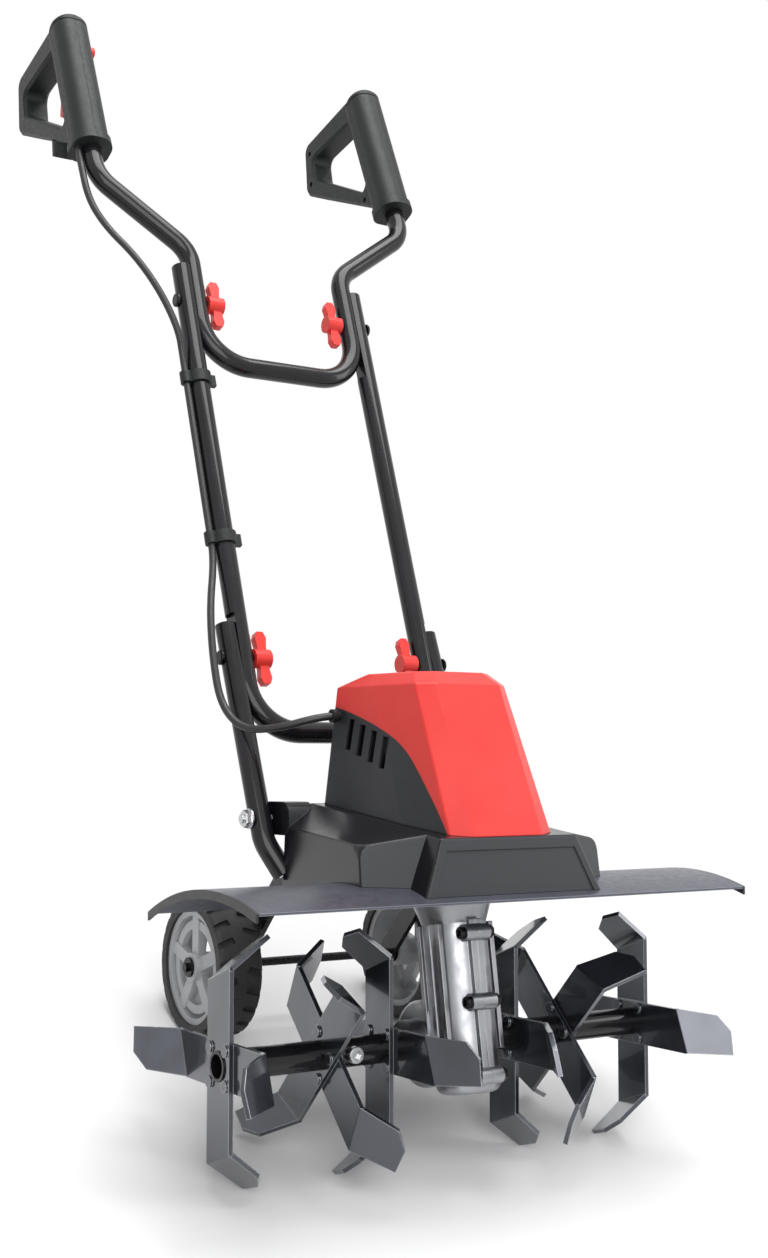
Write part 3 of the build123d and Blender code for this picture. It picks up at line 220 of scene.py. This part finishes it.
def deck_paint(name):
    m = Nodes(name)
    tone = m.ramp(m.noise(9, 4), 0.0, 1.0)
    paint = m.mix(tone, (0.085, 0.090, 0.115), (0.107, 0.113, 0.140))
    worn = m.edge_mask(0.0012)
    rubbed = m.mix(worn, paint, (0.30, 0.31, 0.34))
    across = m.node("ShaderNodeSeparateXYZ")
    m.link(m.coords, across.inputs[0])
    side = m.node("ShaderNodeMath", operation="ABSOLUTE")
    m.link(across.outputs["X"], side.inputs[0])
    trim = m.ramp(side.outputs[0], 0.0, 1.0, DECK_TRIM)
    m.set("Base Color", m.mix(trim, rubbed, (0.016, 0.016, 0.018)))
    m.set("Metallic", m.ramp(side.outputs[0], 0.55, 0.0, DECK_TRIM))
    m.set("Roughness", m.ramp(m.noise(150, 4), 0.32, 0.42))
    m.set("Normal", m.bump(m.noise(700, 3), 0.06, 0.0006, m.soft_edges(0.0008)))
    return m.mat


def cast_metal(name, colour, rough):
    m = Nodes(name)
    tone = m.ramp(m.noise(35, 5), 0.0, 1.0)
    dark = tuple(c * 0.82 for c in colour)
    m.set("Base Color", m.mix(tone, dark, colour))
    m.set("Metallic", 1.0)
    m.set("Roughness", m.ramp(m.noise(120, 5), rough - 0.07, rough + 0.09))
    m.set("Normal", m.bump(m.noise(700, 2), 0.02, 0.0003, m.soft_edges(0.0012)))
    return m.mat


def blade(name):
    m = Nodes(name)
    tone = m.ramp(m.noise(12, 4), 0.0, 1.0)
    coat = m.mix(tone, (0.042, 0.045, 0.056), (0.064, 0.068, 0.084))
    worn = m.edge_mask(0.0016, (0.03, 0.3))
    m.set("Base Color", m.mix(worn, coat, (0.40, 0.41, 0.44)))
    m.set("Metallic", 0.8)
    m.set("Roughness", m.ramp(m.noise(70, 4, (1.0, 1.0, 0.3)), 0.18, 0.27))
    m.set("Coat Weight", 0.9)
    m.set("Coat Roughness", 0.06)
    m.set("Normal", m.bump(m.noise(420, 2), 0.01, 0.0005, m.soft_edges(0.0008)))
    return m.mat


def bright_steel(name, colour=(0.58, 0.585, 0.6), rough=0.28):
    m = Nodes(name)
    lines = m.noise(160, 3, (1.0, 9.0, 9.0))
    m.set("Base Color", m.mix(m.ramp(lines, 0.0, 1.0), tuple(c * 0.85 for c in colour), colour))
    m.set("Metallic", 1.0)
    m.set("Roughness", m.ramp(m.noise(500, 3), rough - 0.06, rough + 0.08))
    m.set("Normal", m.soft_edges(0.0005))
    return m.mat


def rubber(name, colour, rough, grain):
    m = Nodes(name)
    tone = m.ramp(m.noise(30, 3), 0.0, 1.0)
    m.set("Base Color", m.mix(tone, tuple(c * 0.8 for c in colour), colour))
    m.set("Roughness", m.ramp(m.noise(180, 3), rough - 0.06, rough + 0.08))
    m.set("Normal", m.bump(m.noise(1500, 2), grain, 0.0006))
    return m.mat


MATERIALS = {
    "black_tube": gloss_black("gloss_black_coat"),
    "grip_plastic": moulded("grip_plastic_dark", (0.009, 0.010, 0.0105), (0.013, 0.0145, 0.015), 0.46, 0.2),
    "housing_plastic": moulded("housing_plastic_dark", (0.017, 0.018, 0.021), (0.024, 0.025, 0.029),
                               0.34, 0.14, 0.0012),
    "red_plastic": red_plastic("red_plastic_satin"),
    "deck_paint": deck_paint("deck_paint_blue_grey"),
    "cast_aluminium": cast_metal("cast_aluminium", (0.36, 0.363, 0.385), 0.36),
    "blade_steel": blade("blade_black_coat"),
    "steel": bright_steel("zinc_steel"),
    "bronze": bright_steel("cut_bronze", (0.6, 0.42, 0.2), 0.34),
    "fan_plastic": moulded("fan_plastic", (0.08, 0.08, 0.08), (0.1, 0.1, 0.1), 0.5, 0.2),
    "rubber": rubber("cable_rubber", (0.014, 0.014, 0.015), 0.42, 0.08),
    "rim_plastic": moulded("rim_plastic_silver", (0.36, 0.365, 0.375), (0.43, 0.435, 0.445), 0.36, 0.12),
    "tyre": rubber("tyre_rubber", (0.020, 0.020, 0.021), 0.66, 0.3),
}


def two_tone_bolts(name, height):
    """Zinc-plated bolts low down, black ones above this height in metres."""
    m = Nodes(name)
    split = m.node("ShaderNodeSeparateXYZ")
    m.link(m.coords, split.inputs[0])
    upper = m.ramp(split.outputs["Z"], 0.0, 1.0, (height, height + 0.001))
    lines = m.ramp(m.noise(160, 3, (1.0, 9.0, 9.0)), 0.0, 1.0)
    zinc = m.mix(lines, (0.49, 0.495, 0.51), (0.58, 0.585, 0.6))
    m.set("Base Color", m.mix(upper, zinc, (0.018, 0.018, 0.019)))
    m.set("Metallic", 1.0)
    m.set("Roughness", m.ramp(m.noise(500, 3), 0.22, 0.36))
    m.set("Normal", m.soft_edges(0.0005))
    return m.mat


# How far a face looks to the front, as a cosine, where the base turns from gloss to matt
FRONT_FACING = (0.72, 0.78)


def base_finish(name):
    """Glossy black plastic, matt and greyer on the faces that look to the front."""
    m = Nodes(name)
    tone = m.ramp(m.noise(22, 3), 0.0, 1.0)
    facing = m.node("ShaderNodeVectorMath", operation="DOT_PRODUCT")
    m.link(m.node("ShaderNodeNewGeometry").outputs["True Normal"], facing.inputs[0])
    facing.inputs[1].default_value = TURN.to_3x3() @ Vector((0, -1, 0))
    front = m.ramp(facing.outputs["Value"], 0.0, 1.0, FRONT_FACING)
    gloss = m.mix(tone, (0.006, 0.006, 0.008), (0.009, 0.009, 0.012))
    m.set("Base Color", m.mix(front, gloss, (0.036, 0.038, 0.042)))
    m.set("Roughness", m.ramp(facing.outputs["Value"], 0.2, 0.42, FRONT_FACING))
    m.set("Specular IOR Level", 0.28)
    m.set("Normal", m.bump(m.noise(2600, 2), 0.06, 0.0005, m.soft_edges(0.0012)))
    return m.mat


BLACK_BOLTS_ABOVE = 0.29
BLACK_STEEL = bright_steel("black_steel", (0.030, 0.030, 0.032), 0.3)
OWN_MATERIAL = {
    "base_cover": base_finish("base_plastic_black"),
    "upper_pivot_bolts": BLACK_STEEL,
    "wheel_axle": BLACK_STEEL,
    "axle_clips": BLACK_STEEL,
    "grip_screws": BLACK_STEEL,
    "frame_bolts": two_tone_bolts("frame_bolts_finish", BLACK_BOLTS_ABOVE),
}


def dress_nodes():
    slots = {s["node"]: s["material_slot"] for s in frame["record"]["subparts"]}
    for node, obj in frame["nodes"].items():
        obj.data.materials.clear()
        obj.data.materials.append(OWN_MATERIAL.get(node, MATERIALS[slots[node]]))


# The cable's free stretches on the level frame, in millimetres, and its size
CABLE_R_MM = 3.5
UPPER_ROUTE = ((-113.9, 275.8, 615.5), (-113.9, 281.6, 632.6), (-121, 277, 658), (-136, 289, 698),
               (-156, 305, 734), (-178, 324, 763), (-193, 335, 792), (-196.3, 347.3, 829.5),
               (-196.3, 360.2, 858.8))
MIDDLE_ROUTE = ((-113.9, 215.5, 439.6), (-113.9, 245.7, 527.6), (-113.9, 275.8, 615.5))
LOWER_ROUTE = ((-57, 77, 276), (-73, 77, 276), (-106, 100, 265), (-126, 128, 264), (-135, 152, 286),
               (-135, 168, 325), (-129, 188, 376), (-113.9, 210.4, 424.4), (-113.9, 215.5, 439.6))


def link_mesh(name, data, material):
    obj = bpy.data.objects.new(name, data)
    data.materials.clear()
    data.materials.append(material)
    scene.collection.objects.link(obj)
    return obj


def cable(name, node, route, bodies):
    """A smooth round cable along the route, riding the body that holds both its ends, else left fixed where
    it is made.
    """
    curve = bpy.data.curves.new(name + "_line", "CURVE")
    curve.dimensions = "3D"
    curve.resolution_u = 10
    spline = curve.splines.new("NURBS")
    spline.points.add(len(route) - 1)
    for point, at in zip(spline.points, route):
        point.co = (*place(*at), 1)
    spline.order_u = 3
    spline.use_endpoint_u = True
    holder = bpy.data.objects.new(name + "_line", curve)
    scene.collection.objects.link(holder)
    bpy.context.view_layer.update()
    graph = bpy.context.evaluated_depsgraph_get()
    line = bpy.data.meshes.new_from_object(holder.evaluated_get(graph))
    curve.bevel_depth = CABLE_R_MM / 1000
    curve.bevel_resolution = 5
    curve.use_fill_caps = True
    bpy.context.view_layer.update()
    graph = bpy.context.evaluated_depsgraph_get()
    data = bpy.data.meshes.new_from_object(holder.evaluated_get(graph))
    bpy.data.objects.remove(holder)
    for face in data.polygons:
        face.use_smooth = True
    piece = link_mesh(name, data, MATERIALS["rubber"])
    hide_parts(node)
    if bodies[0] == bodies[1]:
        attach(piece, bodies[0])
    else:
        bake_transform(piece)


def upright(at, axis):
    """The placing that stands a shape's Z axis along an axis, on a point."""
    return Matrix.Translation(at) @ axis.to_track_quat("Z", "Y").to_matrix().to_4x4()


def add_ring(mesh, spot, radii, z):
    """Adds vertices evenly round an axis, one for each radius."""
    made = []
    for i, r in enumerate(radii):
        angle = 2 * math.pi * i / len(radii)
        made.append(mesh.verts.new(spot @ Vector((r * math.cos(angle), r * math.sin(angle), z))))
    return made


def add_skin(mesh, rings):
    """Adds the faces from ring to ring and over both ends."""
    count = len(rings[0])
    for low, high in zip(rings, rings[1:]):
        for i in range(count):
            k = (i + 1) % count
            mesh.faces.new((low[i], low[k], high[k], high[i]))
    mesh.faces.new(list(reversed(rings[0])))
    mesh.faces.new(rings[-1])


def add_prism(mesh, at, axis, radius, height, sides, chamfer):
    """Adds an upright prism with a chamfered top, standing on a point along an axis."""
    spot = upright(at, axis)
    profile = ((radius, 0.0), (radius, height - chamfer), (radius - chamfer, height))
    add_skin(mesh, [add_ring(mesh, spot, [r] * sides, z) for r, z in profile])


# A round bolt head: its sides, and its bevel and hexagonal recess as shares of radius and height
HEAD_SIDES = 24
HEAD_BEVEL_FROM = 0.86
HEAD_TOP = 0.9
RECESS_R = 0.5
RECESS_FLOOR = 0.35


def add_socket_head(mesh, at, axis, radius, height):
    """Adds a round bolt head with a hexagonal recess in its top."""
    spot = upright(at, axis)
    profile = ((radius, 0.0), (radius, height * HEAD_BEVEL_FROM), (radius * HEAD_TOP, height))
    rings = [add_ring(mesh, spot, [r] * HEAD_SIDES, z) for r, z in profile]
    recess = []
    for i in range(HEAD_SIDES):
        from_flat = (2 * math.pi * i / HEAD_SIDES) % (math.pi / 3) - math.pi / 6
        recess.append(radius * RECESS_R / math.cos(from_flat))
    for depth in (height, height * RECESS_FLOOR):
        rings.append(add_ring(mesh, spot, recess, depth))
    add_skin(mesh, rings)


def finish_mesh(mesh, name, material, body):
    data = bpy.data.meshes.new(name)
    mesh.normal_update()
    mesh.to_mesh(data)
    mesh.free()
    piece = link_mesh(name, data, material)
    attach(piece, body)
    return piece


# Bolts that show, on the level frame in millimetres
FOOT_BOLT = (123.0, 121.27, 186.0)
FOOT_NUT_IN = 0.2
FOOT_END_OUT = 4.5
TINE_BOLT_X = 96.5
TINE_SEAT = 12.9
TINE_SHANK_FROM = 13.0
TINE_END_FROM = 17.0
GEARBOX_BOLT_HEIGHTS = (87.0, 31.0, -28.0)
GEARBOX_AXIS_LEAN = math.radians(9.0)
GEARBOX_BOLT_OFF = 61.0
GEARBOX_SEAT = 11.9
GEARBOX_SHANK_FROM = -12.0

# Radius, height, sides and chamfer of nuts, shanks and bolt ends, and radius and height of heads, in metres
FOOT_NUT = (0.0081, 0.0058, 6, 0.0008)
FOOT_END = (0.0040, 0.0035, 20, 0.0006)
TINE_HEAD = (0.0070, 0.0051)
TINE_NUT = (0.0080, 0.0050, 6, 0.0008)
TINE_SHANK = (0.0040, 0.0260, 24, 0.0002)
TINE_END = (0.0039, 0.0020, 24, 0.0005)
GEARBOX_HEAD = (0.0050, 0.0041)
GEARBOX_NUT = (0.0056, 0.0050, 6, 0.0006)
GEARBOX_SHANK = (0.0030, 0.0240, 20, 0.0002)


def foot_bolt_nuts():
    mesh = bmesh.new()
    x, y, z = FOOT_BOLT
    for side in (-1, 1):
        outward = Vector((side, 0, 0))
        add_prism(mesh, place(side * (x - FOOT_NUT_IN), y, z), outward, *FOOT_NUT)
        add_prism(mesh, place(side * (x + FOOT_END_OUT), y, z), outward, *FOOT_END)
    finish_mesh(mesh, "foot_bolt_nuts", MATERIALS["steel"], "chassis")


def tine_lock_bolts():
    mesh = bmesh.new()
    front = TURN.to_3x3() @ Vector((0, -1, 0))
    for side in (-1, 1):
        x = side * TINE_BOLT_X
        add_socket_head(mesh, place(x, -TINE_SEAT, 0), front, *TINE_HEAD)
        add_prism(mesh, place(x, TINE_SEAT, 0), -front, *TINE_NUT)
        add_prism(mesh, place(x, TINE_SHANK_FROM, 0), front, *TINE_SHANK)
        add_prism(mesh, place(x, TINE_END_FROM, 0), -front, *TINE_END)
    piece = finish_mesh(mesh, "tine_lock_bolts_detail", MATERIALS["steel"], "tines")
    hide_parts("tine_lock_bolts")


def gearbox_bolts():
    mesh = bmesh.new()
    right = Vector((1, 0, 0))
    up_y, up_z = math.sin(GEARBOX_AXIS_LEAN), math.cos(GEARBOX_AXIS_LEAN)
    for w in GEARBOX_BOLT_HEIGHTS:
        y = -GEARBOX_BOLT_OFF * up_z + w * up_y
        z = GEARBOX_BOLT_OFF * up_y + w * up_z
        add_prism(mesh, place(GEARBOX_SEAT, y, z), right, *GEARBOX_NUT)
        add_prism(mesh, place(GEARBOX_SHANK_FROM, y, z), right, *GEARBOX_SHANK)
        add_socket_head(mesh, place(-GEARBOX_SEAT, y, z), -right, *GEARBOX_HEAD)
    piece = finish_mesh(mesh, "gearbox_bolts_detail", BLACK_STEEL, "chassis")
    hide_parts("gearbox_bolts")


# The floor's size and the distance from the tine shaft over which it fades to white, in metres
FLOOR_SIZE = 3.6
FLOOR_FADE = (0.28, 0.85)


def background_rays(tree):
    """One for the rays that see the background, which are camera, glossy and transmission rays."""
    path = tree.nodes.new("ShaderNodeLightPath")
    seen_by = path.outputs["Is Camera Ray"]
    for ray in ("Is Glossy Ray", "Is Transmission Ray"):
        either = tree.nodes.new("ShaderNodeMath")
        either.operation = "MAXIMUM"
        tree.links.new(seen_by, either.inputs[0])
        tree.links.new(path.outputs[ray], either.inputs[1])
        seen_by = either.outputs[0]
    return seen_by


def set_floor():
    bpy.ops.mesh.primitive_plane_add(size=FLOOR_SIZE, location=(0, 0, 0))
    floor = bpy.context.object
    floor.name = "floor"
    m = Nodes("floor_pale")
    m.set("Base Color", (0.92, 0.92, 0.925))
    m.set("Roughness", 0.8)
    out = m.tree.nodes["Material Output"]
    white = m.node("ShaderNodeEmission")
    white.inputs["Color"].default_value = (1, 1, 1, 1)
    far = m.node("ShaderNodeVectorMath", operation="DISTANCE")
    m.link(m.coords, far.inputs[0])
    far.inputs[1].default_value = (0.0, ORIGIN.y, 0.0)
    away = m.ramp(far.outputs["Value"], 0.0, 1.0, FLOOR_FADE)
    fac = m.node("ShaderNodeMath", operation="MULTIPLY")
    m.link(background_rays(m.tree), fac.inputs[0])
    m.link(away, fac.inputs[1])
    mixer = m.node("ShaderNodeMixShader")
    m.link(fac.outputs[0], mixer.inputs[0])
    m.link(m.shader.outputs[0], mixer.inputs[1])
    m.link(white.outputs[0], mixer.inputs[2])
    m.link(mixer.outputs[0], out.inputs["Surface"])
    floor.data.materials.append(m.mat)


# The world's light on the object, and each lamp's name, place, aim and size in metres and power in watts
WORLD_STRENGTH = 0.25
LAMPS = (
    ("key", (-1.2, -2.3, 2.0), (0, -0.1, 0.35), (2.0, 2.0), 46),
    ("side", (2.2, -1.2, 1.4), (0, -0.1, 0.3), (0.8, 1.8), 18),
    ("top", (0.1, 0.1, 2.8), (0, -0.25, 0.2), (1.9, 1.9), 70),
)


def area_light(name, at, aim, size, power):
    data = bpy.data.lights.new(name, "AREA")
    data.shape = "RECTANGLE"
    data.size, data.size_y = size
    data.energy = power
    lamp = bpy.data.objects.new(name, data)
    spot = Vector(at)
    lamp.location = spot
    lamp.rotation_euler = (Vector(aim) - spot).to_track_quat("-Z", "Y").to_euler()
    scene.collection.objects.link(lamp)


def set_lights():
    world = bpy.data.worlds.new("studio")
    world.use_nodes = True
    tree = world.node_tree
    back = tree.nodes["Background"]
    back.inputs["Color"].default_value = (1, 1, 1, 1)
    back.inputs["Strength"].default_value = WORLD_STRENGTH
    seen = tree.nodes.new("ShaderNodeBackground")
    seen.inputs["Color"].default_value = (1, 1, 1, 1)
    seen.inputs["Strength"].default_value = 1.0
    mixer = tree.nodes.new("ShaderNodeMixShader")
    tree.links.new(background_rays(tree), mixer.inputs[0])
    tree.links.new(back.outputs[0], mixer.inputs[1])
    tree.links.new(seen.outputs[0], mixer.inputs[2])
    tree.links.new(mixer.outputs[0], tree.nodes["World Output"].inputs["Surface"])
    scene.world = world
    for name, at, aim, size, power in LAMPS:
        area_light(name, at, aim, size, power)


set_camera()
dress_nodes()
cable("cable_upper_smooth", "cable_upper", UPPER_ROUTE, ("middle_handle", "upper_handle"))
cable("cable_middle_smooth", "cable_middle", MIDDLE_ROUTE, ("middle_handle", "middle_handle"))
cable("cable_lower_smooth", "cable_lower", LOWER_ROUTE, ("chassis", "middle_handle"))
foot_bolt_nuts()
tine_lock_bolts()
gearbox_bolts()
set_floor()
set_lights()
